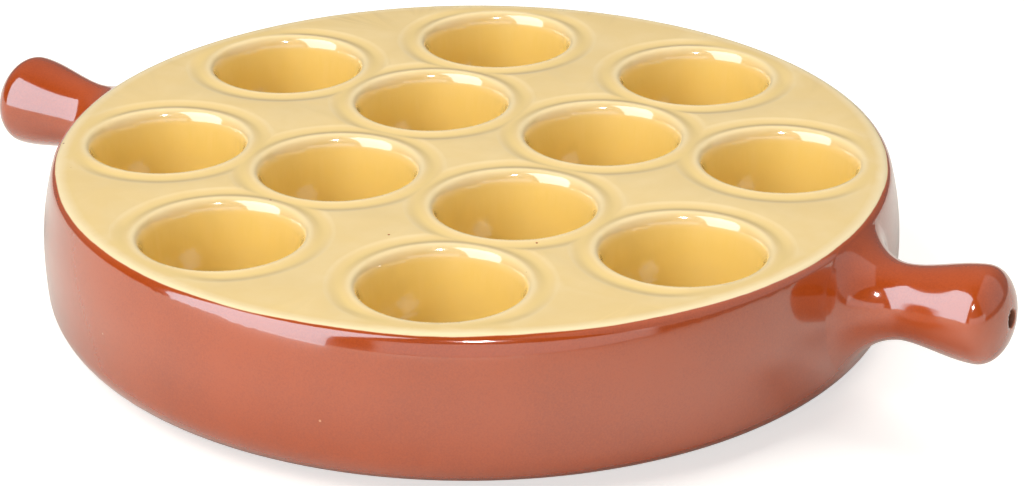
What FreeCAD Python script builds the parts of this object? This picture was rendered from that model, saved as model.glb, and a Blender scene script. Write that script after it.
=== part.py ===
"""Escargot plate: a round, hollow, slip-cast stoneware dish with wells and two knob handles.

It is one casting, so it is one solid. Millimetres, +Z up. The origin is the centre of the foot,
on the surface that the plate stands on, and the handles lie along X.
"""
import FreeCAD, Part
import math
import os

from FreeCAD import Vector

# Wells for the snails
inner_wells = 4
outer_wells = 8
well_radius = 18.6          # where the wall meets the rounded lip
well_floor_radius = 16.2    # the walls draw in to this, so that the mould lets go
well_depth = 24.0
well_floor_round = 10.0     # rounding between a well's wall and its floor
lip_drop = 4.0              # how far down the well the lip's rounding starts
lip_inside = 2.15           # wall to the crest of the lip
lip_outside = 2.15          # radius of the lip's outer side, from its crest down
inner_gap = 2.7             # between the lips of neighbouring inner wells
ring_gap = 0.4              # between the lips of an inner well and an outer well
well_turn = 1.9             # degrees that the pattern of wells is turned from the handles

# Shallow ring sunk around each lip, which leaves raised land between the wells
sink_depth = 0.8
sink_width = 3.0            # floor of the ring, outside the lip
sink_slope = 0.6            # how much wider the ring is at the land

# Round body
height = 40.5               # foot to the raised land of the top
edge_land = 11.4            # walls of the outer wells to the widest part of the wall
rim_width = 7.6             # band inside the widest part of the wall that the sunk rings leave alone
belly_height = 20.0         # the wall is widest here
upper_wall_curve = 70.0     # radius of the wall's bulge from the belly up to the shoulder
lower_wall_curve = 110.0    # radius of the wall's bulge from the belly down to the corner
shoulder_radius = 2.6       # rounding from the wall into the top
corner_radius = 9.0         # rounding from the wall into the underside
foot_inset = 22.0           # widest part of the wall to the outside of the ring that the plate stands on
foot_ring_width = 14.0
foot_recess = 1.2           # how far the middle of the underside is lifted off the table
underside_rise = 10.0       # degrees that the underside climbs from the foot to the corner

# Thickness of the cast clay
side_thickness = 5.0
top_thickness = 5.0
bottom_thickness = 5.0
well_thickness = 4.5
handle_thickness = 4.5

# Knob handles, with their lengths counted outwards from the widest part of the wall
neck_radius = 9.0
neck_length = 10.0          # wall to where the handle starts to swell
swell_length = 19.2         # from there to where it is widest
bulb_radius = 11.7
cap_length = 7.3            # from there to its end
root_radius = 14.0          # hollow curve where a handle grows out of the wall
handle_drop = 15.2          # land of the top down to the handle's axis, at the wall
handle_tilt = 3.8           # degrees that each handle rises outwards
vent_radius = 2.0           # hole in each handle's end, which lets hot air out of the hollow

# Worked out from the sizes above
reach = 10.0                # how far a cutting shape goes past what it cuts
touching = 1e-4             # two surfaces nearer than this are taken to touch
z_axis = Vector(0, 0, 1)

crest_radius = well_radius + lip_inside
lip_radius = crest_radius + lip_outside
inner_step = 360 / inner_wells
outer_step = 360 / outer_wells
inner_ring_radius = (lip_radius + inner_gap / 2) / math.sin(math.radians(inner_step / 2))
nearest_turn = math.radians(min(abs((inner + 0.5) * inner_step - (outer + 0.5) * outer_step)
                                for inner in range(inner_wells) for outer in range(outer_wells)))
ring_pitch = 2 * lip_radius + ring_gap
outer_ring_radius = (inner_ring_radius * math.cos(nearest_turn)
                     + math.sqrt(ring_pitch ** 2 - (inner_ring_radius * math.sin(nearest_turn)) ** 2))

belly_radius = outer_ring_radius + well_radius + edge_land
rim_land_radius = belly_radius - rim_width
foot_radius = belly_radius - foot_inset
well_floor = height - well_depth
sink_floor = height - sink_depth
lip_foot = math.sqrt(lip_outside ** 2 - (lip_outside - sink_depth) ** 2)
sink_radius = crest_radius + lip_foot + sink_width
hollow_top = sink_floor - top_thickness
hollow_floor = foot_recess + bottom_thickness

neck_end = belly_radius + neck_length
bulb_place = neck_end + swell_length
handle_end = bulb_place + cap_length
handle_axis_height = height - handle_drop - belly_radius * math.tan(math.radians(handle_tilt))


def lines(*points):
    """Straight edges from point to point, each given as its distance from the axis and its height."""
    ends = [Vector(r, 0, z) for r, z in points]
    return [Part.LineSegment(a, b).toShape() for a, b in zip(ends, ends[1:])]


def on_circle(centre, radius, degrees):
    """The point of a circle at an angle, which is 0 outwards and 90 upwards."""
    angle = math.radians(degrees)
    return centre[0] + radius * math.cos(angle), centre[1] + radius * math.sin(angle)


def round_edge(centre, radius, start, end):
    """A round edge about a centre, from one angle to another."""
    points = [on_circle(centre, radius, degrees) for degrees in (start, (start + end) / 2, end)]
    return Part.Arc(*(Vector(r, 0, z) for r, z in points)).toShape()


def turned(edges):
    """The solid of revolution of a closed outline about the Z axis, with its seam over the Y axis."""
    face = Part.Face(Part.Wire(Part.__sortEdges__(edges)))
    face.rotate(Vector(), z_axis, 90)
    return face.revolve(Vector(), z_axis, 360)


def direction_to(start, end):
    """The angle in degrees from one point to another."""
    return math.degrees(math.atan2(end[1] - start[1], end[0] - start[0]))


def round_body():
    """The body as a filled form, without its handles and wells."""
    upper = (belly_radius - upper_wall_curve, belly_height)
    shoulder_height = height - shoulder_radius
    run = math.sqrt((upper_wall_curve - shoulder_radius) ** 2 - (shoulder_height - belly_height) ** 2)
    shoulder = (upper[0] + run, shoulder_height)
    shoulder_angle = direction_to(upper, shoulder)

    # The corner touches the sloping underside and the lower wall, so its centre is where
    # a line beside the one meets a circle inside the other
    lower = (belly_radius - lower_wall_curve, belly_height)
    beside_foot = on_circle((foot_radius, 0), corner_radius, underside_rise + 90)
    slope = on_circle((0, 0), 1, underside_rise)
    offset = (beside_foot[0] - lower[0], beside_foot[1] - lower[1])
    along = offset[0] * slope[0] + offset[1] * slope[1]
    spare = (lower_wall_curve - corner_radius) ** 2 - offset[0] ** 2 - offset[1] ** 2
    corner = on_circle(beside_foot, math.sqrt(along ** 2 + spare) - along, underside_rise)
    corner_angle = direction_to(lower, corner)
    underside_angle = underside_rise - 90

    recess_radius = foot_radius - foot_ring_width
    edges = lines((0, height), (shoulder[0], height))
    edges.append(round_edge(shoulder, shoulder_radius, 90, shoulder_angle))
    edges.append(round_edge(upper, upper_wall_curve, shoulder_angle, 0))
    edges.append(round_edge(lower, lower_wall_curve, 0, corner_angle))
    edges.append(round_edge(corner, corner_radius, corner_angle, underside_angle))
    edges += lines(on_circle(corner, corner_radius, underside_angle), (foot_radius, 0), (recess_radius, 0),
                   (recess_radius - foot_recess, foot_recess), (0, foot_recess), (0, height))
    return turned(edges)


def handle_form(inset, inner_end):
    """Both handles as turned forms that start inside the body, thinner than the real ones by the inset."""
    neck = neck_radius - inset
    bulb = bulb_radius - inset
    end = handle_end - inset
    third = (bulb_place - neck_end) / 3
    swell = Part.BezierCurve()
    swell.setPoles([Vector(neck, 0, neck_end), Vector(neck, 0, neck_end + third),
                    Vector(bulb, 0, bulb_place - third), Vector(bulb, 0, bulb_place)])
    # A quarter of an ellipse, from the widest place to the end
    cap = Part.BezierCurve()
    cap.setPoles([Vector(bulb, 0, bulb_place), Vector(bulb, 0, end), Vector(0, 0, end)])
    cap.setWeight(2, math.cos(math.radians(45)))
    edges = lines((0, end), (0, inner_end), (neck, inner_end), (neck, neck_end))
    return along_handles(turned(edges + [swell.toShape(), cap.toShape()]))


def along_handles(form):
    """Two copies of a form that stands on Z, laid along the axes of the two handles."""
    right = form.copy()
    right.rotate(Vector(), Vector(0, 1, 0), 90 - handle_tilt)
    right.translate(Vector(0, 0, handle_axis_height))
    left = right.copy()
    left.rotate(Vector(), z_axis, 180)
    return [right, left]


def filled_form():
    """Body and handles with no hollow: the handles grow out of the wall in a hollow curve."""
    body = round_body()
    handles = handle_form(0, belly_radius - side_thickness - reach)
    joined = body.fuse(handles)
    roots = [edge for edge in joined.Edges
             if touches(body, edge) and any(touches(handle, edge) for handle in handles)]
    return joined.makeFillet(root_radius, roots)


def touches(solid, edge):
    """Whether the middle of an edge lies on the surface of a solid."""
    first, last = edge.ParameterRange
    middle = Part.Vertex(edge.valueAt((first + last) / 2))
    return min(face.distToShape(middle)[0] for face in solid.Faces) < touching


def hollow():
    """The space that is left inside when the slip is poured out again."""
    side = belly_radius - side_thickness
    curve = upper_wall_curve - side_thickness
    centre = (side - curve, belly_height)
    top_angle = math.degrees(math.asin((hollow_top - belly_height) / curve))
    edges = [round_edge(centre, curve, top_angle, 0)]
    edges += lines((side, belly_height), (side, hollow_floor + corner_radius), (foot_radius, hollow_floor),
                   (0, hollow_floor), (0, hollow_top), on_circle(centre, curve, top_angle))
    return [turned(edges)] + handle_form(handle_thickness, side - reach)


def well_centres():
    """Where the wells are: a square of inner ones and a ring of outer ones."""
    centres = []
    rings = ((inner_wells, inner_step, inner_ring_radius), (outer_wells, outer_step, outer_ring_radius))
    for count, step, radius in rings:
        for index in range(count):
            angle = math.radians(well_turn + (index + 0.5) * step)
            centres.append(Vector(radius * math.cos(angle), radius * math.sin(angle), 0))
    return centres


def well_cup():
    """One well as a cup with its rounded lip, on the Z axis."""
    wall_top = height - lip_drop
    slope = (well_radius - well_floor_radius) / (wall_top - well_floor)
    lean = math.degrees(math.atan(slope))
    tangent = well_floor_round * math.tan(math.radians((90 - lean) / 2))
    round_centre = (well_floor_radius - tangent, well_floor + well_floor_round)
    edges = lines((0, well_floor), (round_centre[0], well_floor))
    edges.append(round_edge(round_centre, well_floor_round, -90, -lean))
    edges += lines(on_circle(round_centre, well_floor_round, -lean), (well_radius, wall_top))
    # A quarter of an ellipse that leans as the wall does, so the rounding is gentle down the
    # well and tight at the crest
    inside = Part.BezierCurve()
    inside.setPoles([Vector(well_radius, 0, wall_top), Vector(well_radius + slope * lip_drop, 0, height),
                     Vector(crest_radius, 0, height)])
    inside.setWeight(2, math.cos(math.radians(45)))
    edges.append(inside.toShape())
    outside_centre = (crest_radius, height - lip_outside)
    edges.append(round_edge(outside_centre, lip_outside, 90, 0))
    edges += lines((lip_radius, height - lip_outside),
                   (well_floor_radius + well_thickness, well_floor + well_thickness),
                   (well_floor_radius, well_floor - well_thickness),
                   (0, well_floor - well_thickness), (0, well_floor))
    return turned(edges)


def sunk_rings(centres):
    """The shallow rings around the lips, as one shape to cut from the top."""
    above = sink_depth + reach
    widen = sink_slope / sink_depth * above
    discs = []
    for centre in centres:
        disc = Part.makeCone(sink_radius, sink_radius + widen, above)
        disc.translate(centre + Vector(0, 0, sink_floor))
        discs.append(disc)
    rim_floor = rim_land_radius - sink_slope
    inside_rim = Part.makeCone(rim_floor, rim_floor + widen, above)
    inside_rim.translate(Vector(0, 0, sink_floor))
    return discs[0].fuse(discs[1:]).common(inside_rim)


def escargot_plate():
    """The whole casting."""
    centres = well_centres()
    openings = []
    cups = []
    for centre in centres:
        opening = Part.makeCylinder(crest_radius, height - hollow_top + 2 * reach)
        opening.translate(centre + Vector(0, 0, hollow_top - reach))
        openings.append(opening)
        cup = well_cup()
        cup.translate(centre)
        cups.append(cup)
    vent = Part.makeCylinder(vent_radius, cap_length + reach)
    vent.translate(Vector(0, 0, bulb_place))
    shell = filled_form().cut([sunk_rings(centres)] + openings + hollow() + along_handles(vent))
    return shell.fuse(cups).removeSplitter()


os.makedirs("parts", exist_ok=True)
plate = escargot_plate()
plate.exportStep("parts/escargot_plate.step")
box = plate.BoundBox
print(f"escargot_plate: {len(plate.Solids)} solid, {len(plate.Faces)} faces, valid {plate.isValid()}")
print(f"size {box.XLength:.1f} x {box.YLength:.1f} x {box.ZLength:.1f} mm from z {box.ZMin:.2f}")
print(f"clay {plate.Volume / 1000:.0f} cm3, handles end at x {box.XMin:.1f} and {box.XMax:.1f}")
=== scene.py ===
"""Escargot plate: models the slip-cast stoneware dish, glazes it in two colours and lights it."""

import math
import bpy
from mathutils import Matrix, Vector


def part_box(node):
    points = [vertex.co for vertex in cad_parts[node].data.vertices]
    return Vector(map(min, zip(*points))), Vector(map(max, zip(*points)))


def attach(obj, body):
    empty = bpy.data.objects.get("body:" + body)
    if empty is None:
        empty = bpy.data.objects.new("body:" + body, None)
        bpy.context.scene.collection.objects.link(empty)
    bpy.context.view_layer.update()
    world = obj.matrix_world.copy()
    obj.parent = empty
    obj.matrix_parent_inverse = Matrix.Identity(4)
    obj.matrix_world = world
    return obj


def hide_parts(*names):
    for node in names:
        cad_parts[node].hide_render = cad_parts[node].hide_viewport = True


bl_info = {
    "name": "Glazed Escargot Plate",
    "version": (1, 0, 0),
    "blender": (4, 5, 0),
    "location": "View3D > Sidebar > Escargot Plate",
    "description": "Models a slip-cast escargot plate with two knob handles and glazes it in two colours",
    "category": "Add Mesh",
}

import bpy
import numpy as np
from mathutils import Quaternion, Vector

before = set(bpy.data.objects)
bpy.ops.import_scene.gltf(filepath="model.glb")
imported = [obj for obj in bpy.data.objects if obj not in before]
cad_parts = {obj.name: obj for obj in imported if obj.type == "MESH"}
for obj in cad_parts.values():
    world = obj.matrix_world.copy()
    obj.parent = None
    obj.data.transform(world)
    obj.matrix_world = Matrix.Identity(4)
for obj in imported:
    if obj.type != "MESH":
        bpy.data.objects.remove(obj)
MM = 0.001
NODE = "escargot_plate"
BODY = "root"
_, CAD_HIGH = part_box(NODE)
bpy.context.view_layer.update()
SPARE = 0.01 * MM  # thinning the mesh moves its points outwards by less than this

# How finely the forms are built
BODY_STEPS = 384
WELL_STEPS = 96
HANDLE_STEPS = 128
ROOT_COLUMNS = 144
ROOT_ROWS = 24
HALVINGS = 30
FINE_STEP = 0.1 * MM
POINTS_AT_ONCE = 4000

# A point nearer to an outline than the first is drawn onto it, and one beyond the second is left
WELL_REACH = (1.0 * MM, 2.0 * MM)
WALL_REACH = (0.04 * MM, 0.15 * MM)

LIP_FULLNESS = 0.56  # how far a lip's curve holds to the wall and to the top; 0.55 is a quarter ellipse


def length(name, description, metres):
    """A size that a user may change, in metres."""
    return bpy.props.FloatProperty(name=name, description=description, default=metres, precision=5,
                                   unit="LENGTH", subtype="DISTANCE")


def degrees(name, description, value):
    """An angle that a user may change."""
    return bpy.props.FloatProperty(name=name, description=description, default=math.radians(value),
                                   unit="ROTATION", subtype="ANGLE")


def linear(hexadecimal):
    """An sRGB colour such as "F2D694" as the linear RGBA that Blender's sockets take."""
    channels = [int(hexadecimal[i:i + 2], 16) / 255 for i in (0, 2, 4)]
    return (*(c / 12.92 if c <= 0.04045 else ((c + 0.055) / 1.055) ** 2.4 for c in channels), 1.0)


def colour(name, description, hexadecimal):
    """A colour that a user may change."""
    return bpy.props.FloatVectorProperty(name=name, description=description, size=4, min=0, max=1,
                                         default=linear(hexadecimal), subtype="COLOR")


class PlateSizes(bpy.types.PropertyGroup):
    """Sizes of the casting."""
    height: length("Height", "Foot to the raised land of the top", CAD_HIGH.z - SPARE)
    belly_radius: length("Belly radius", "Radius of the body where the wall is widest", CAD_HIGH.y - SPARE)
    reach: length("Reach", "Middle of the plate to the end of a handle", CAD_HIGH.x)

    inner_wells: bpy.props.IntProperty(name="Inner wells", description="Wells in the middle", default=4)
    outer_wells: bpy.props.IntProperty(name="Outer wells", description="Wells round them", default=8)
    well_radius: length("Well radius", "Radius of a well where its wall meets the lip", 18.6 * MM)
    well_floor_radius: length("Well floor radius", "Radius that the wall draws in to", 16.2 * MM)
    well_depth: length("Well depth", "Land to the floor of a well", 24.0 * MM)
    well_floor_round: length("Well floor rounding", "Rounding between wall and floor", 10.0 * MM)
    lip_drop: length("Lip drop", "How far down the well the lip's rounding starts", 4.0 * MM)
    lip_inside: length("Lip inside", "Wall to the crest of the lip", 2.15 * MM)
    lip_outside: length("Lip outside", "Radius of the lip's outer side", 2.15 * MM)
    inner_gap: length("Inner gap", "Between the lips of neighbouring inner wells", 2.7 * MM)
    ring_gap: length("Ring gap", "Between the lips of an inner and an outer well", 0.4 * MM)
    well_turn: degrees("Well turn", "Turn of the pattern of wells from the handles", 1.9)

    sink_depth: length("Sink depth", "Depth of the shallow ring round each lip", 0.42 * MM)
    sink_start: length("Sink start", "Crest of the lip to the deepest place of the ring", 2.9 * MM)
    sink_slope: length("Sink slope", "Width of the slope from there up to the land", 3.4 * MM)
    rim_width: length("Rim width", "Band inside the belly that the rings leave alone", 7.6 * MM)

    belly_height: length("Belly height", "Height at which the wall is widest", 20.0 * MM)
    upper_wall_curve: length("Upper wall curve", "Radius of the bulge above the belly", 70.0 * MM)
    lower_wall_curve: length("Lower wall curve", "Radius of the bulge below the belly", 110.0 * MM)
    shoulder_radius: length("Shoulder radius", "Rounding from the wall into the top", 2.6 * MM)
    corner_radius: length("Corner radius", "Rounding from the wall into the underside", 9.0 * MM)
    foot_inset: length("Foot inset", "Belly to the outside of the foot ring", 22.0 * MM)
    foot_ring_width: length("Foot ring width", "Width of the ring that the plate stands on", 14.0 * MM)
    foot_recess: length("Foot recess", "Lift of the middle of the underside", 1.2 * MM)
    underside_rise: degrees("Underside rise", "Climb of the underside from foot to corner", 10.0)

    neck_radius: length("Neck radius", "Thinnest radius of a handle", 9.0 * MM)
    neck_length: length("Neck length", "Wall to where the handle starts to swell", 10.0 * MM)
    bulb_radius: length("Bulb radius", "Widest radius of a handle", 11.7 * MM)
    cap_length: length("Cap length", "Widest place of a handle to its end", 7.3 * MM)
    root_radius: length("Root radius", "Hollow curve where a handle grows out of the wall", 14.0 * MM)
    handle_drop: length("Handle drop", "Land down to the handle's axis, at the wall", 15.2 * MM)
    handle_tilt: degrees("Handle tilt", "Climb of each handle outwards", 3.8)
    vent_radius: length("Vent radius", "Radius of the hole in a handle's end", 2.0 * MM)
    vent_depth: length("Vent depth", "How far in the hole can be seen", 16.0 * MM)

    voxel: length("Voxel", "Grid on which the parts melt into one skin", 0.5 * MM)
    shrinkage: length("Shrinkage", "How much of a handle's end the smoothing takes", 0.05 * MM)
    triangles: bpy.props.IntProperty(name="Triangles", description="Most triangles in the finished skin",
                                     default=190000)


def plate_sizes():
    return bpy.context.scene.escargot_sizes


def well_centres(plate):
    """Where the wells are, as an array of X and Y: a square of inner ones and a ring of outer ones."""
    lip = plate.well_radius + plate.lip_inside + plate.lip_outside
    inner_step = 2 * math.pi / plate.inner_wells
    outer_step = 2 * math.pi / plate.outer_wells
    inner_ring, outer_ring = ring_radii(plate, lip, inner_step, outer_step)
    rings = ((plate.inner_wells, inner_step, inner_ring), (plate.outer_wells, outer_step, outer_ring))
    return np.array([(radius * math.cos(plate.well_turn + (index + 0.5) * step),
                      radius * math.sin(plate.well_turn + (index + 0.5) * step))
                     for count, step, radius in rings for index in range(count)])


def ring_radii(plate, lip, inner_step, outer_step):
    """Radii of the circles on which the inner and the outer wells lie."""
    inner_ring = (lip + plate.inner_gap / 2) / math.sin(inner_step / 2)
    nearest = min(abs((i + 0.5) * inner_step - (o + 0.5) * outer_step)
                  for i in range(plate.inner_wells) for o in range(plate.outer_wells))
    pitch = 2 * lip + plate.ring_gap
    across = inner_ring * math.sin(nearest)
    return inner_ring, inner_ring * math.cos(nearest) + math.sqrt(pitch ** 2 - across ** 2)


def round_points(centre, radius, start, end, steps):
    """Points of a round edge, from one angle to another, where 0 is outwards and 90 upwards."""
    angles = np.radians(np.linspace(start, end, steps + 1))
    return [(centre[0] + radius * math.cos(a), centre[1] + radius * math.sin(a)) for a in angles]


def bezier(poles, steps):
    """Points of a cubic curve from its four poles."""
    t = np.linspace(0, 1, steps + 1)[:, None]
    p = np.array(poles)
    curve = (1 - t) ** 3 * p[0] + 3 * (1 - t) ** 2 * t * p[1] + 3 * (1 - t) * t ** 2 * p[2] + t ** 3 * p[3]
    return [tuple(point) for point in curve]


def direction_to(start, end):
    return math.degrees(math.atan2(end[1] - start[1], end[0] - start[0]))


def body_outline(plate):
    """Half section of the body, from the middle of its top round to the middle of its underside."""
    belly = plate.belly_radius
    upper = (belly - plate.upper_wall_curve, plate.belly_height)
    shoulder_height = plate.height - plate.shoulder_radius
    run = math.sqrt((plate.upper_wall_curve - plate.shoulder_radius) ** 2
                    - (shoulder_height - plate.belly_height) ** 2)
    shoulder = (upper[0] + run, shoulder_height)
    shoulder_angle = direction_to(upper, shoulder)

    # The corner touches the sloping underside and the lower wall
    lower = (belly - plate.lower_wall_curve, plate.belly_height)
    foot = belly - plate.foot_inset
    rise = plate.underside_rise
    slope = (math.cos(rise), math.sin(rise))
    beside_foot = (foot - plate.corner_radius * slope[1], plate.corner_radius * slope[0])
    offset = (beside_foot[0] - lower[0], beside_foot[1] - lower[1])
    along = offset[0] * slope[0] + offset[1] * slope[1]
    spare = (plate.lower_wall_curve - plate.corner_radius) ** 2 - offset[0] ** 2 - offset[1] ** 2
    run = math.sqrt(along ** 2 + spare) - along
    corner = (beside_foot[0] + run * slope[0], beside_foot[1] + run * slope[1])
    corner_angle = direction_to(lower, corner)
    underside_angle = math.degrees(rise) - 90

    recess = foot - plate.foot_ring_width
    return ([(0, plate.height), (shoulder[0] * 0.97, plate.height)]
            + round_points(shoulder, plate.shoulder_radius, 90, shoulder_angle, steps=24)
            + round_points(upper, plate.upper_wall_curve, shoulder_angle, 0, steps=40)[1:]
            + round_points(lower, plate.lower_wall_curve, 0, corner_angle, steps=20)[1:]
            + round_points(corner, plate.corner_radius, corner_angle, underside_angle, steps=24)[1:]
            + [(foot, 0), (recess, 0), (recess - plate.foot_recess, plate.foot_recess),
               (0, plate.foot_recess)])


def well_outline(plate):
    """Half section of the space in a well, out to the crest of its lip and up past the top."""
    floor = plate.height - plate.well_depth
    wall_top = plate.height - plate.lip_drop
    slope = (plate.well_radius - plate.well_floor_radius) / (wall_top - floor)
    lean = math.degrees(math.atan(slope))
    tangent = plate.well_floor_round * math.tan(math.radians((90 - lean) / 2))
    centre = (plate.well_floor_radius - tangent, floor + plate.well_floor_round)
    points = [(0, floor)] + round_points(centre, plate.well_floor_round, -90, -lean, steps=40)

    # The lip starts along the leaning wall and ends level at its crest
    rise = LIP_FULLNESS * plate.lip_drop
    crest = (plate.well_radius + plate.lip_inside, plate.height)
    poles = ((plate.well_radius, wall_top), (plate.well_radius + slope * rise, wall_top + rise),
             (crest[0] - LIP_FULLNESS * plate.lip_inside, plate.height), crest)
    points += bezier(poles, steps=20)[1:]
    above = plate.height + plate.well_depth
    return points + [(points[-1][0], above), (0, above)]


def handle_outline(plate, inner_end):
    """Half section of a handle along its own axis, from the bottom of its vent to its inner end."""
    end = handle_length(plate)
    bulb_place = end - plate.cap_length
    neck_end = plate.belly_radius + plate.neck_length
    vent_angle = math.asin(plate.vent_radius / plate.bulb_radius)
    points = [(0, end - plate.vent_depth), (plate.vent_radius, end - plate.vent_depth)]
    for angle in np.linspace(vent_angle, math.pi / 2, 20):
        points.append((plate.bulb_radius * math.sin(angle),
                       bulb_place + plate.cap_length * math.cos(angle)))
    third = (bulb_place - neck_end) / 3
    poles = ((plate.bulb_radius, bulb_place), (plate.bulb_radius, bulb_place - third),
             (plate.neck_radius, neck_end + third), (plate.neck_radius, neck_end))
    points += bezier(poles, steps=20)[1:]
    return points + [(plate.neck_radius, inner_end), (0, inner_end)]


def handle_length(plate):
    """End of a handle along its own axis, so that it reaches as far out as the sizes say."""
    return plate.reach / math.cos(plate.handle_tilt) + plate.shrinkage


def handle_axis(plate):
    """Where the right handle's axis starts over the middle of the plate, and its direction."""
    tilt = plate.handle_tilt
    start = plate.height - plate.handle_drop - plate.belly_radius * math.tan(tilt)
    return np.array([0, 0, start]), np.array([math.cos(tilt), 0, math.sin(tilt)])


def deselect():
    bpy.ops.object.select_all(action="DESELECT")


def make_object(name, vertices, edges=(), faces=()):
    """A new mesh object, alone selected and active."""
    mesh = bpy.data.meshes.new(name)
    mesh.from_pydata([tuple(v) for v in vertices], list(edges), list(faces))
    piece = bpy.data.objects.new(name, mesh)
    bpy.context.scene.collection.objects.link(piece)
    deselect()
    piece.select_set(True)
    bpy.context.view_layer.objects.active = piece
    return piece


def spun(name, outline, steps):
    """A closed form, spun from half of its section about the Z axis."""
    points = [(r, 0, z) for r, z in outline]
    piece = make_object(name, points, [(i, i + 1) for i in range(len(points) - 1)])
    bpy.ops.object.mode_set(mode="EDIT")
    bpy.ops.mesh.select_all(action="SELECT")
    bpy.ops.mesh.spin(steps=steps, angle=2 * math.pi, center=(0, 0, 0), axis=(0, 0, 1))
    tidy_shell()
    return piece


def tidy_shell():
    """Merges what coincides in the mesh being edited, turns its faces outwards and leaves edit mode."""
    bpy.ops.mesh.select_all(action="SELECT")
    bpy.ops.mesh.remove_doubles(threshold=MM / 1000)
    bpy.ops.mesh.normals_make_consistent(inside=False)
    bpy.ops.object.mode_set(mode="OBJECT")


def place(piece, location=(0, 0, 0), rotation=(0, 0, 0)):
    """Moves and turns a piece, then settles that in its mesh."""
    deselect()
    piece.select_set(True)
    bpy.context.view_layer.objects.active = piece
    piece.location = location
    piece.rotation_euler = rotation
    bpy.ops.object.transform_apply(location=True, rotation=True, scale=True)
    return piece


def copied(piece, location=(0, 0, 0), rotation=(0, 0, 0)):
    """A copy of a piece with a mesh of its own, moved and turned."""
    double = piece.copy()
    double.data = piece.data.copy()
    bpy.context.scene.collection.objects.link(double)
    return place(double, location, rotation)


def joined(pieces):
    """Several pieces as one object, named as the first."""
    deselect()
    for piece in pieces:
        piece.select_set(True)
    bpy.context.view_layer.objects.active = pieces[0]
    bpy.ops.object.join()
    return pieces[0]


def apply_modifier(piece, kind, **settings):
    """Adds a modifier to a piece, sets it and applies it."""
    deselect()
    piece.select_set(True)
    bpy.context.view_layer.objects.active = piece
    modifier = piece.modifiers.new(kind.title(), kind)
    for name, value in settings.items():
        setattr(modifier, name, value)
    bpy.ops.object.modifier_apply(modifier=modifier.name)
    return piece


def remove(piece):
    bpy.data.objects.remove(piece, do_unlink=True)


def handle_root(plate, inner_end):
    """Hollow curve between the right handle and the wall, left by a ball that rolls round the handle."""
    start, axis = handle_axis(plate)
    side = np.array([0, 1, 0])
    rise = np.cross(axis, side)
    turn = np.linspace(0, 2 * math.pi, ROOT_COLUMNS, endpoint=False)[:, None]
    outwards = np.cos(turn) * side + np.sin(turn) * rise
    outline = finely(body_outline(plate))
    ball = plate.root_radius

    def centres(along):
        return start + along[:, None] * axis + (plate.neck_radius + ball) * outwards

    def nearest(points):
        section = np.column_stack([np.hypot(points[:, 0], points[:, 1]), points[:, 2]])
        apart = np.linalg.norm(section[:, None, :] - outline[None, :, :], axis=2)
        index = apart.argmin(axis=1)
        return apart[np.arange(len(index)), index], section[:, 0], outline[index]

    # The ball's place along the handle, where it just touches the wall, by halving
    near = np.full(ROOT_COLUMNS, plate.belly_radius - ball)
    far = np.full(ROOT_COLUMNS, plate.belly_radius + 3 * ball)
    for _ in range(HALVINGS):
        middle = (near + far) / 2
        inside = nearest(centres(middle))[0] < ball
        near = np.where(inside, middle, near)
        far = np.where(inside, far, middle)
    middle = centres(far)
    _, radius, touch = nearest(middle)
    on_wall = np.column_stack([middle[:, :2] * (touch[:, 0] / radius)[:, None], touch[:, 1]])
    on_neck = start + far[:, None] * axis + plate.neck_radius * outwards

    # The ball's surface between the two places where it touches, closed inside the handle and the body
    first = (on_neck - middle) / ball
    last = (on_wall - middle) / np.linalg.norm(on_wall - middle, axis=1)[:, None]
    angle = np.arccos((first * last).sum(axis=1))[:, None]
    rings = [start + far[:, None] * axis + 0.5 * plate.neck_radius * outwards]
    for share in np.linspace(0, 1, ROOT_ROWS):
        blend = (np.sin((1 - share) * angle) * first + np.sin(share * angle) * last) / np.sin(angle)
        rings.append(middle + ball * blend)
    rings.append(start + inner_end * axis + 0.5 * plate.neck_radius * outwards)
    return ring_shell("handle_root", rings)


def ring_shell(name, rings):
    """A closed shell through rings of points, with a flat face at each end."""
    columns = len(rings[0])
    faces = [tuple(range(columns)), tuple(range((len(rings) - 1) * columns, len(rings) * columns))]
    for row in range(len(rings) - 1):
        for column in range(columns):
            beside = (column + 1) % columns
            faces.append((row * columns + column, row * columns + beside,
                          (row + 1) * columns + beside, (row + 1) * columns + column))
    piece = make_object(name, np.concatenate(rings), faces=faces)
    bpy.ops.object.mode_set(mode="EDIT")
    tidy_shell()
    return piece


def finely(outline):
    """The points of an outline, no farther apart than a fine step."""
    points = np.array(outline)
    fine = []
    for a, b in zip(points, points[1:]):
        count = max(2, int(np.linalg.norm(b - a) / FINE_STEP) + 1)
        fine.append(a + np.linspace(0, 1, count)[:, None] * (b - a))
    return np.concatenate(fine)


def vertex_places(mesh):
    places = np.empty(len(mesh.vertices) * 3)
    mesh.vertices.foreach_get("co", places)
    return places.reshape(-1, 3)


def smooth_step(low, high, values):
    share = np.clip((values - low) / (high - low), 0, 1)
    return share * share * (3 - 2 * share)


def draw_onto(places, chosen, middle, outline, reach):
    """Moves the chosen points onto a round form about their middles, unless they lie out of its reach."""
    points, middle = places[chosen], middle[chosen]
    offset = points[:, :2] - middle
    radius = np.maximum(np.linalg.norm(offset, axis=1), MM / 1000)
    section = np.column_stack([radius, points[:, 2]])
    fine = finely(outline)
    parts = np.array_split(section, len(section) // POINTS_AT_ONCE + 1)
    indices = [np.linalg.norm(part[:, None, :] - fine[None, :, :], axis=2).argmin(axis=1) for part in parts]
    nearest = fine[np.concatenate(indices)]
    share = 1 - smooth_step(*reach, np.linalg.norm(nearest - section, axis=1))
    moved = section + share[:, None] * (nearest - section)
    places[chosen, :2] = middle + offset * (moved[:, 0] / radius)[:, None]
    places[chosen, 2] = moved[:, 1]


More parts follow.
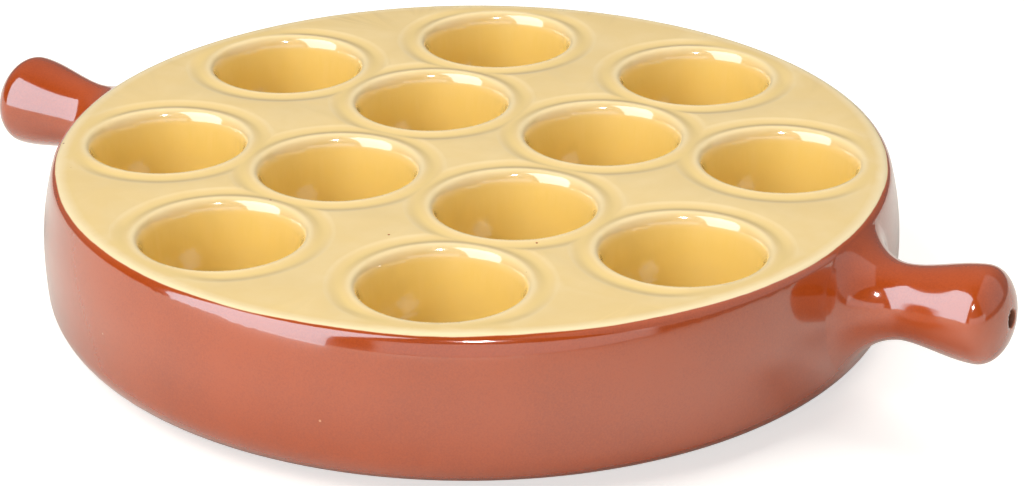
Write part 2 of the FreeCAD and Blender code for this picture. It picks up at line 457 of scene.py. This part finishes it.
def true_up(piece, plate):
    """Moves the skin onto the exact forms of the wells, land and wall, without the grid's ripple."""
    places = vertex_places(piece.data)
    centres = well_centres(plate)
    apart = np.linalg.norm(places[:, None, :2] - centres[None, :, :], axis=2)
    from_well = apart.min(axis=1)
    radius = np.hypot(places[:, 0], places[:, 1])
    floor = plate.height - plate.well_depth
    in_well = (from_well < plate.well_radius + plate.lip_inside) & (places[:, 2] > floor - plate.voxel)
    inside = well_outline(plate)[:-2]
    draw_onto(places, in_well, centres[apart.argmin(axis=1)], inside, WELL_REACH)

    inmost = plate.belly_radius - 2 * plate.shoulder_radius
    wall = [(r, z) for r, z in body_outline(plate) if r > inmost - plate.shoulder_radius]
    draw_onto(places, radius > inmost, np.zeros((len(places), 2)), wall, WALL_REACH)

    on_land = (radius <= inmost) & ~in_well & (places[:, 2] > plate.height - plate.voxel)
    places[on_land, 2] = plate.height
    piece.data.vertices.foreach_set("co", places.ravel())
    piece.data.update()


def sink_rings(piece, plate):
    """Lowers the shallow ring outside each lip, which leaves raised land between the wells."""
    places = vertex_places(piece.data)
    across = places[:, None, :2] - well_centres(plate)[None, :, :]
    from_well = np.linalg.norm(across, axis=2).min(axis=1)
    radius = np.hypot(places[:, 0], places[:, 1])
    crest = plate.well_radius + plate.lip_inside
    deepest = crest + plate.sink_start
    lip_side = smooth_step(crest, deepest, from_well)
    land_side = 1 - smooth_step(deepest, deepest + plate.sink_slope, from_well)
    rim_land = plate.belly_radius - plate.rim_width
    rim_side = 1 - smooth_step(rim_land - 2 * plate.sink_slope, rim_land, radius)
    on_top = (places[:, 2] > plate.height - plate.voxel) & (from_well > crest)
    lowered = plate.sink_depth * lip_side * land_side * rim_side
    places[:, 2] -= np.where(on_top, lowered, 0)
    piece.data.vertices.foreach_set("co", places.ravel())
    piece.data.update()


class ESCARGOT_OT_casting(bpy.types.Operator):
    """Model the whole plate as one skin: body, wells, handles and their hollow roots"""
    bl_idname = "escargot.casting"
    bl_label = "Cast the plate"

    def execute(self, context):
        plate = plate_sizes()
        body = spun("plate", body_outline(plate), BODY_STEPS)
        well = spun("well", well_outline(plate), WELL_STEPS)
        wells = joined([copied(well, (x, y, 0)) for x, y in well_centres(plate)])
        remove(well)
        apply_modifier(body, "BOOLEAN", operation="DIFFERENCE", object=wells, solver="EXACT")
        remove(wells)

        inner_end = plate.belly_radius - plate.root_radius
        start, _ = handle_axis(plate)
        right = spun("handle", handle_outline(plate, inner_end), HANDLE_STEPS)
        place(right, start, (0, math.pi / 2 - plate.handle_tilt, 0))
        root = handle_root(plate, inner_end)
        left = [copied(half, rotation=(0, 0, math.pi)) for half in (right, root)]

        piece = joined([body, right, root] + left)
        apply_modifier(piece, "REMESH", mode="VOXEL", voxel_size=plate.voxel)
        apply_modifier(piece, "SMOOTH", factor=0.5, iterations=5)
        true_up(piece, plate)
        sink_rings(piece, plate)
        thin_skin(piece, plate.triangles)
        store_glaze_and_well_shade(piece, plate)
        piece.name = "glazed_plate"
        piece.data.name = "glazed_plate"
        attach(piece, BODY)
        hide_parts(NODE)
        return {"FINISHED"}


def store_glaze_and_well_shade(piece, plate):
    """Stores how thick the yellow glaze lies: it runs off the lips and pools in the rings. Deep inside the
    wells the value is raised further as painted shade.
    """
    places = vertex_places(piece.data)
    across = places[:, None, :2] - well_centres(plate)[None, :, :]
    from_well = np.linalg.norm(across, axis=2).min(axis=1)
    depth = plate.height - places[:, 2]
    crest = plate.well_radius + plate.lip_inside
    ring = crest + 0.8 * plate.sink_start
    ring_edge = crest + plate.sink_start + plate.sink_slope - 0.8 * MM
    # Painted shade: deep in the wells the yellow is pushed towards honey, for the shade of the recess
    in_well = smooth_step(1.0 * MM, 5.0 * MM, depth) * (from_well < crest)
    in_ring = np.exp(-((from_well - ring) / (1.5 * MM)) ** 2)
    on_line = np.exp(-((from_well - ring_edge) / (0.8 * MM)) ** 2)
    on_crest = np.exp(-((from_well - crest) / (1.2 * MM)) ** 2) * (1 - in_well)
    thick = np.clip(0.4 + 0.6 * in_well + 0.16 * in_ring - 0.14 * on_line - 0.25 * on_crest, 0, 1)
    layer = piece.data.attributes.new("glaze", "FLOAT", "POINT")
    layer.data.foreach_set("value", thick.astype(np.float32))


def thin_skin(piece, most):
    """Thins the mesh where it is flat, and keeps the fine mesh's smooth shading."""
    fine = copied(piece)
    fine.data.shade_smooth()
    triangles = sum(len(face.vertices) - 2 for face in piece.data.polygons)
    apply_modifier(piece, "DECIMATE", ratio=min(1.0, most / triangles))
    piece.data.shade_smooth()
    apply_modifier(piece, "DATA_TRANSFER", object=fine, use_loop_data=True,
                   data_types_loops={"CUSTOM_NORMAL"}, loop_mapping="POLYINTERP_NEAREST")
    remove(fine)


class GlazeFinish(bpy.types.PropertyGroup):
    """Colours of the two glazes and of the bare clay, and the painted shade in the wells and the vents."""
    butter: colour("Butter", "Yellow glaze of the top", "F1D18E")
    cream: colour("Cream", "Yellow glaze where it is thin", "F9E3B2")
    # Honey also stands for painted shade deep inside the wells
    honey_and_well_shade: colour("Honey", "Yellow glaze where it lies thick", "ECCB73")
    russet: colour("Russet", "Red-brown glaze of the wall, the handles and the underside", "B54B16")
    chestnut: colour("Chestnut", "Red-brown glaze where it lies thick", "9F3F12")
    clay: colour("Clay", "Bare fired clay of the foot", "D9986A")
    # Painted shade: a dark colour inside the vents, for the shade in the hollow
    painted_vent_shade: colour("Soot", "Bare clay inside the vents, darkened by the kiln", "6E3A20")
    glaze_line: length("Glaze line", "Radius at which the yellow glaze ends", 102.15 * MM)
    line_wander: length("Wander of the glaze line", "How far the line strays, as it is wiped by hand",
                        0.35 * MM)
    wander_spacing: length("Wander spacing", "Length of the line's strays", 30 * MM)
    cloud: length("Cloud", "Size of the clouds in the yellow glaze", 9 * MM)
    blotch: length("Blotch", "Size of the darker patches in the red-brown glaze", 25 * MM)
    wave: length("Wave", "Length of the faint waves in the glaze's surface", 3.5 * MM)
    pinhole_spacing: length("Pinhole spacing", "Mean distance between pinholes in the glaze", 14 * MM)
    grain: length("Grain", "Size of the fine grain that shows through the red-brown glaze", 0.45 * MM)


def add_node(tree, kind, inputs=(), **settings):
    """Adds a node, sets its properties and fills its inputs, where a node stands for its first output."""
    node = tree.nodes.new("ShaderNode" + kind)
    for name, value in settings.items():
        setattr(node, name, value)
    for socket, value in dict(inputs).items():
        if isinstance(value, bpy.types.Node):
            value = value.outputs[0]
        if isinstance(value, bpy.types.NodeSocket):
            tree.links.new(value, node.inputs[socket])
        else:
            node.inputs[socket].default_value = value
    return node


def fill_ramp(ramp, stops):
    """Sets the colours of a ramp node, given as places and colours."""
    elements = ramp.color_ramp.elements
    while len(elements) < len(stops):
        elements.new(1.0)
    for element, (position, tint) in zip(elements, stops):
        element.position = position
        element.color = tint


def new_material(name):
    material = bpy.data.materials.new(name)
    material.use_nodes = True
    material.node_tree.nodes.clear()
    return material, material.node_tree


def vent_mask(tree, places, plate):
    """1 inside the vents in the ends of the handles: near the axis and farther out than the bottom."""
    start, axis = handle_axis(plate)
    split = add_node(tree, "SeparateXYZ", {0: places}).outputs
    outwards = add_node(tree, "Math", {0: split[0]}, operation="ABSOLUTE")
    climb = add_node(tree, "Math", {0: outwards, 1: -axis[2] / axis[0], 2: split[2]},
                     operation="MULTIPLY_ADD")
    height = add_node(tree, "Math", {0: climb, 1: start[2]}, operation="SUBTRACT")
    across = add_node(tree, "CombineXYZ", {0: height, 1: split[1]})
    radius = add_node(tree, "VectorMath", {0: across}, operation="LENGTH").outputs["Value"]
    near = add_node(tree, "MapRange", {0: radius, 1: plate.vent_radius + 0.35 * MM,
                                       2: plate.vent_radius + 0.1 * MM})
    inmost = plate.reach - plate.vent_depth
    end = add_node(tree, "MapRange", {0: outwards, 1: inmost - 2 * MM, 2: inmost - 1 * MM})
    return add_node(tree, "Math", {0: near, 1: end}, operation="MULTIPLY")


class ESCARGOT_OT_glaze(bpy.types.Operator):
    """Glaze the plate: yellow on the top and in the wells, red-brown outside"""
    bl_idname = "escargot.glaze"
    bl_label = "Glaze the plate"

    def execute(self, context):
        # Stoneware under glossy glazes, dipped or wiped on: a clear coat that mirrors the room sharply
        # over a warm colour, cloudy where the glaze pools and darker where the clay's grain shows through
        # The colour also holds painted shade deep inside the wells and inside the vents
        finish = context.scene.escargot_finish
        plate = plate_sizes()
        material, tree = new_material("glazed_stoneware")
        places = add_node(tree, "TexCoord").outputs["Object"]
        split = add_node(tree, "SeparateXYZ", {0: places}).outputs
        flat = add_node(tree, "CombineXYZ", {0: split[0], 1: split[1]})
        radius = add_node(tree, "VectorMath", {0: flat}, operation="LENGTH").outputs["Value"]

        # The yellow glaze covers the top and the wells, inside a line that wanders a little
        soft = 0.12 * MM
        low, high = 12.5 * MM, 13.0 * MM
        wander = add_node(tree, "TexNoise",
                          {"Vector": places, "Scale": 1 / finish.wander_spacing, "Detail": 5.0})
        strayed = add_node(tree, "Math", {0: wander, 1: 4 * finish.line_wander, 2: radius},
                           operation="MULTIPLY_ADD")
        line = finish.glaze_line + 2 * finish.line_wander
        inside = add_node(tree, "MapRange", {0: strayed, 1: line + soft, 2: line - soft})
        above = add_node(tree, "MapRange", {0: split[2], 1: low, 2: high})
        yellow = add_node(tree, "Math", {0: inside, 1: above}, operation="MULTIPLY")

        # Yellow glaze is deeper where it pools and paler where it runs thin, and paler towards the rim;
        # deep in the wells it is darkened to honey as painted shade
        glaze_depth_and_well_shade = add_node(tree, "Attribute", attribute_name="glaze").outputs["Fac"]
        bare_edge = plate.belly_radius - 4.5 * MM
        full_edge = plate.belly_radius - 7 * MM
        cloudiness = 0.24
        edge = add_node(tree, "MapRange", {0: radius, 1: bare_edge, 2: full_edge})
        thick = add_node(tree, "Math", {0: glaze_depth_and_well_shade, 1: edge}, operation="MULTIPLY")
        cloud = add_node(tree, "TexNoise", {"Vector": places, "Scale": 1 / finish.cloud, "Detail": 4.0})
        uneven = add_node(tree, "Math", {0: cloud, 1: cloudiness, 2: thick}, operation="MULTIPLY_ADD")
        pooled_and_shaded = add_node(tree, "Math", {0: uneven, 1: cloudiness / 2}, operation="SUBTRACT")
        butter = add_node(tree, "ValToRGB", {0: pooled_and_shaded})
        fill_ramp(butter, ((0.0, finish.cream), (0.4, finish.butter), (1.0, finish.honey_and_well_shade)))

        # The red-brown glaze shows the grain of the clay under it
        grain = add_node(tree, "TexNoise", {"Vector": places, "Scale": 1 / finish.grain, "Detail": 2.0})
        blotch = add_node(tree, "TexNoise", {"Vector": places, "Scale": 1 / finish.blotch, "Detail": 3.0})
        depth = add_node(tree, "Math", {0: grain, 1: blotch}, operation="ADD")
        dark = add_node(tree, "MapRange", {0: depth, 1: 0.85, 2: 1.5})
        brown = add_node(tree, "Mix", {0: dark, 6: finish.russet, 7: finish.chestnut}, data_type="RGBA")
        glaze = add_node(tree, "Mix", {0: yellow, 6: brown.outputs[2], 7: butter}, data_type="RGBA")

        # A few pinholes, where gas left the glaze in the kiln, sized as shares of their spacing
        rim, bottom = 0.026, 0.016
        cells = add_node(tree, "TexVoronoi", {"Vector": places, "Scale": 1 / finish.pinhole_spacing})
        hole = add_node(tree, "MapRange", {0: cells, 1: rim, 2: bottom})
        pit = add_node(tree, "Mix", {0: yellow, 6: finish.clay, 7: finish.chestnut}, data_type="RGBA")
        pitted = add_node(tree, "Mix", {0: hole, 6: glaze.outputs[2], 7: pit.outputs[2]}, data_type="RGBA")

        # The foot is wiped clean, and no glaze gets into the vents, whose bare clay is painted dark as the
        # shade of the hollow
        glazed_from, wiped_to = 0.35 * MM, 0.2 * MM
        foot = add_node(tree, "MapRange", {0: split[2], 1: glazed_from, 2: wiped_to})
        vents = vent_mask(tree, places, plate)
        bare = add_node(tree, "Math", {0: foot, 1: vents}, operation="MAXIMUM")
        bare_clay_and_vent_shade = add_node(tree, "Mix", {0: vents, 6: finish.clay, 7: finish.painted_vent_shade}, data_type="RGBA")
        body = add_node(tree, "Mix", {0: bare, 6: pitted.outputs[2], 7: bare_clay_and_vent_shade.outputs[2]},
                        data_type="RGBA")

        # The surface waves a little and dips at the pinholes
        relief_height = 0.03 * MM
        dimple = add_node(tree, "Math", {0: hole, 1: -1.0}, operation="MULTIPLY")
        wave = add_node(tree, "TexNoise", {"Vector": places, "Scale": 1 / finish.wave, "Detail": 1.0})
        relief = add_node(tree, "Math", {0: wave, 1: 0.4, 2: dimple}, operation="MULTIPLY_ADD")
        surface = add_node(tree, "Bump", {"Height": relief, "Distance": relief_height, "Strength": 1.0})
        shader = add_node(tree, "BsdfPrincipled",
                          {"Base Color": body.outputs[2], "IOR": 1.7,
                           "Coat IOR": 1.75, "Coat Roughness": 0.03,
                           "Roughness": add_node(tree, "MapRange", {0: bare, 3: 0.14, 4: 0.75}),
                           "Coat Weight": add_node(tree, "MapRange", {0: bare, 3: 1.0, 4: 0.0}),
                           "Normal": surface})
        add_node(tree, "OutputMaterial", {0: shader})
        piece = bpy.data.objects["glazed_plate"]
        piece.data.materials.clear()
        piece.data.materials.append(material)
        return {"FINISHED"}


class StageSettings(bpy.types.PropertyGroup):
    """Camera, lamps and floor."""
    azimuth: degrees("Azimuth", "Side from which the camera looks, where 0 is from -Y", 28.91)
    elevation: degrees("Elevation", "Height of the camera over the table", 24.90)
    roll: degrees("Roll", "Turn of the camera about its line of sight", -0.03)
    distance: length("Distance", "Camera to the point that it looks at", 814.32 * MM)
    target: bpy.props.FloatVectorProperty(name="Target", description="Point that the camera looks at",
                                          default=(-6.98 * MM, 33.14 * MM, 0), unit="LENGTH", subtype="XYZ")
    lens: bpy.props.FloatProperty(name="Lens", description="Focal length, on a sensor 36 mm wide",
                                  default=109.23, unit="CAMERA")
    sky: bpy.props.FloatProperty(name="Sky", description="Light from all round", default=0.05)
    room: bpy.props.FloatProperty(name="Dark room", description="Near side of the room, seen in the glaze",
                                  default=0.03)
    wall: bpy.props.FloatProperty(name="Dim wall", description="Far side of the room, seen in the glaze",
                                  default=0.17)
    paper: bpy.props.FloatProperty(name="Paper", description="Paper that curves up in front of the table",
                                   default=0.8)


def towards(azimuth, elevation):
    """Direction from the plate to a place round it. Azimuth 0 is -Y and 90 is +X, in degrees."""
    a, e = math.radians(azimuth), math.radians(elevation)
    return Vector((math.sin(a) * math.cos(e), -math.cos(a) * math.cos(e), math.sin(e)))


def add_lamp(name, direction, distance, size, watts, tint="FFFFFF", shape="RECTANGLE", seen_by_glaze=True,
             lights_plate=True):
    """An area lamp that faces the plate. Its direction is an azimuth and an elevation in degrees."""
    data = bpy.data.lights.new(name, "AREA")
    data.shape = shape
    data.size = size[0]
    data.size_y = size[1]
    data.energy = watts
    data.color = linear(tint)[:3]
    lamp = bpy.data.objects.new(name, data)
    bpy.context.scene.collection.objects.link(lamp)
    lamp.location = towards(*direction) * distance
    lamp.rotation_euler = towards(*direction).to_track_quat("Z", "Y").to_euler()
    lamp.visible_camera = False
    lamp.visible_glossy = seen_by_glaze
    lamp.visible_diffuse = lights_plate
    return lamp


class ESCARGOT_OT_stage(bpy.types.Operator):
    """Set up the white floor, the lamps and the camera"""
    bl_idname = "escargot.stage"
    bl_label = "Set the stage"

    def execute(self, context):
        stage = context.scene.escargot_stage
        context.scene.view_settings.view_transform = "Standard"
        add_camera(stage)
        add_world(stage)
        add_floor()
        add_room(stage)
        add_lamp("softbox", (-46, 50), 2.5, (2.2, 1.6), 57.0, seen_by_glaze=False)
        add_lamp("backlight", (180, 50), 2.5, (2.2, 1.6), 51.0, seen_by_glaze=False)
        add_lamp("fill", (22, 16), 2.5, (2.0, 1.2), 36.0, seen_by_glaze=False)
        add_lamp("window", (-28, 30), 1.3, (1.2, 1.6), 21.0, "D2F0FF", lights_plate=False)
        add_lamp("reflector", (102, 40), 1.6, (2.3, 2.1), 4.6, lights_plate=False)
        add_lamp("flash", (30.8, 35.3), 0.664, (0.070, 0.070), 0.9, shape="DISK", lights_plate=False)
        return {"FINISHED"}


def add_camera(stage):
    """The camera at the photograph's viewing angle."""
    data = bpy.data.cameras.new("camera")
    data.lens = stage.lens
    data.sensor_width = 36
    data.sensor_fit = "HORIZONTAL"
    data.clip_start = 0.01
    data.clip_end = 50
    camera = bpy.data.objects.new("camera", data)
    bpy.context.scene.collection.objects.link(camera)
    back = towards(math.degrees(stage.azimuth), math.degrees(stage.elevation))
    camera.location = Vector(stage.target) + back * stage.distance
    camera.rotation_mode = "QUATERNION"
    turn = back.to_track_quat("Z", "Y")
    turn.rotate(Quaternion(back, stage.roll))
    camera.rotation_quaternion = turn
    bpy.context.scene.camera = camera


def seen_rays(tree):
    """1 for what the camera sees, directly or in the gloss, and 0 for what lights the plate."""
    path = add_node(tree, "LightPath").outputs
    seen = add_node(tree, "Math", {0: path["Is Camera Ray"], 1: path["Is Glossy Ray"]}, operation="MAXIMUM")
    return add_node(tree, "Math", {0: seen, 1: path["Is Transmission Ray"]}, operation="MAXIMUM")


def add_world(stage):
    """White all round for the eye, and soft light for the plate."""
    world = bpy.data.worlds.new("studio")
    bpy.context.scene.world = world
    world.use_nodes = True
    tree = world.node_tree
    tree.nodes.clear()
    level = add_node(tree, "Mix", {0: seen_rays(tree), 2: stage.sky, 3: 1.0})
    add_node(tree, "OutputWorld", {0: add_node(tree, "Background", {0: (1, 1, 1, 1), 1: level})})


def add_floor():
    """A plain white floor that keeps the plate's soft shadow."""
    deselect()
    bpy.ops.mesh.primitive_plane_add(size=12.0, location=(0, 0, 0))
    floor = bpy.context.active_object
    floor.name = "floor"
    place(floor, (0, 0, -0.05 * MM))
    material, tree = new_material("white_floor")
    matte = add_node(tree, "BsdfDiffuse", {0: linear("D2CEC6")})
    camera = add_node(tree, "LightPath").outputs["Is Camera Ray"]
    lift = add_node(tree, "Emission", {0: (1, 1, 1, 1), 1: add_node(tree, "MapRange", {0: camera, 4: 0.6})})
    both = add_node(tree, "AddShader", {0: matte, 1: lift})
    add_node(tree, "OutputMaterial", {0: both})
    floor.data.materials.append(material)


def add_room(stage):
    """The dim room round the table, with paper that curves up to the right. Only the glaze mirrors it."""
    deselect()
    bpy.ops.mesh.primitive_uv_sphere_add(segments=96, ring_count=48, radius=4.0, location=(0, 0, 0))
    room = bpy.context.active_object
    room.name = "room"
    place(room)
    bpy.ops.object.mode_set(mode="EDIT")
    bpy.ops.mesh.select_all(action="SELECT")
    bpy.ops.mesh.bisect(plane_co=(0, 0, -0.02), plane_no=(0, 0, 1), clear_inner=True)
    bpy.ops.object.mode_set(mode="OBJECT")
    room.visible_camera = False
    room.visible_diffuse = False
    room.visible_shadow = False
    room.visible_transmission = False
    material, tree = new_material("unlit_room")
    split = add_node(tree, "SeparateXYZ", {0: add_node(tree, "TexCoord").outputs["Object"]}).outputs

    # The wall grows lighter towards the back; the paper ends softly on its left, behind it and above it
    behind = add_node(tree, "MapRange", {0: split[1], 1: -1.2, 2: 0.6, 3: stage.room, 4: stage.wall})
    right = add_node(tree, "MapRange", {0: split[0], 1: 0.3, 2: 0.5})
    front = add_node(tree, "MapRange", {0: split[1], 1: -0.9, 2: -1.1})
    low = add_node(tree, "MapRange", {0: split[2], 1: 0.95, 2: 0.85})
    corner = add_node(tree, "Math", {0: right, 1: front}, operation="MULTIPLY")
    paper = add_node(tree, "Math", {0: corner, 1: low}, operation="MULTIPLY")
    level = add_node(tree, "Mix", {0: paper, 2: behind, 3: stage.paper})
    glow = add_node(tree, "Emission", {0: (1, 1, 1, 1), 1: level})
    add_node(tree, "OutputMaterial", {0: glow})
    room.data.materials.append(material)


class ESCARGOT_PT_panel(bpy.types.Panel):
    """Lists the steps and sizes in the 3D view's sidebar"""
    bl_idname = "ESCARGOT_PT_panel"
    bl_label = "Escargot Plate"
    bl_space_type = "VIEW_3D"
    bl_region_type = "UI"
    bl_category = "Escargot Plate"

    def draw(self, context):
        layout = self.layout
        for step in STEPS:
            layout.operator(step.bl_idname)
        for held in GROUPS:
            group = getattr(context.scene, held)
            box = layout.box()
            for name in group.__annotations__:
                box.prop(group, name)


GROUPS = {"escargot_sizes": PlateSizes, "escargot_finish": GlazeFinish, "escargot_stage": StageSettings}
STEPS = (ESCARGOT_OT_casting, ESCARGOT_OT_glaze, ESCARGOT_OT_stage)


def register():
    for group in (*GROUPS.values(), *STEPS, ESCARGOT_PT_panel):
        bpy.utils.register_class(group)
    for name, group in GROUPS.items():
        setattr(bpy.types.Scene, name, bpy.props.PointerProperty(type=group))


def unregister():
    for name in GROUPS:
        delattr(bpy.types.Scene, name)
    for group in (ESCARGOT_PT_panel, *reversed(STEPS), *reversed(GROUPS.values())):
        bpy.utils.unregister_class(group)


def main():
    register()
    bpy.ops.escargot.casting()
    bpy.ops.escargot.glaze()
    bpy.ops.escargot.stage()


if __name__ == "__main__":
    main()
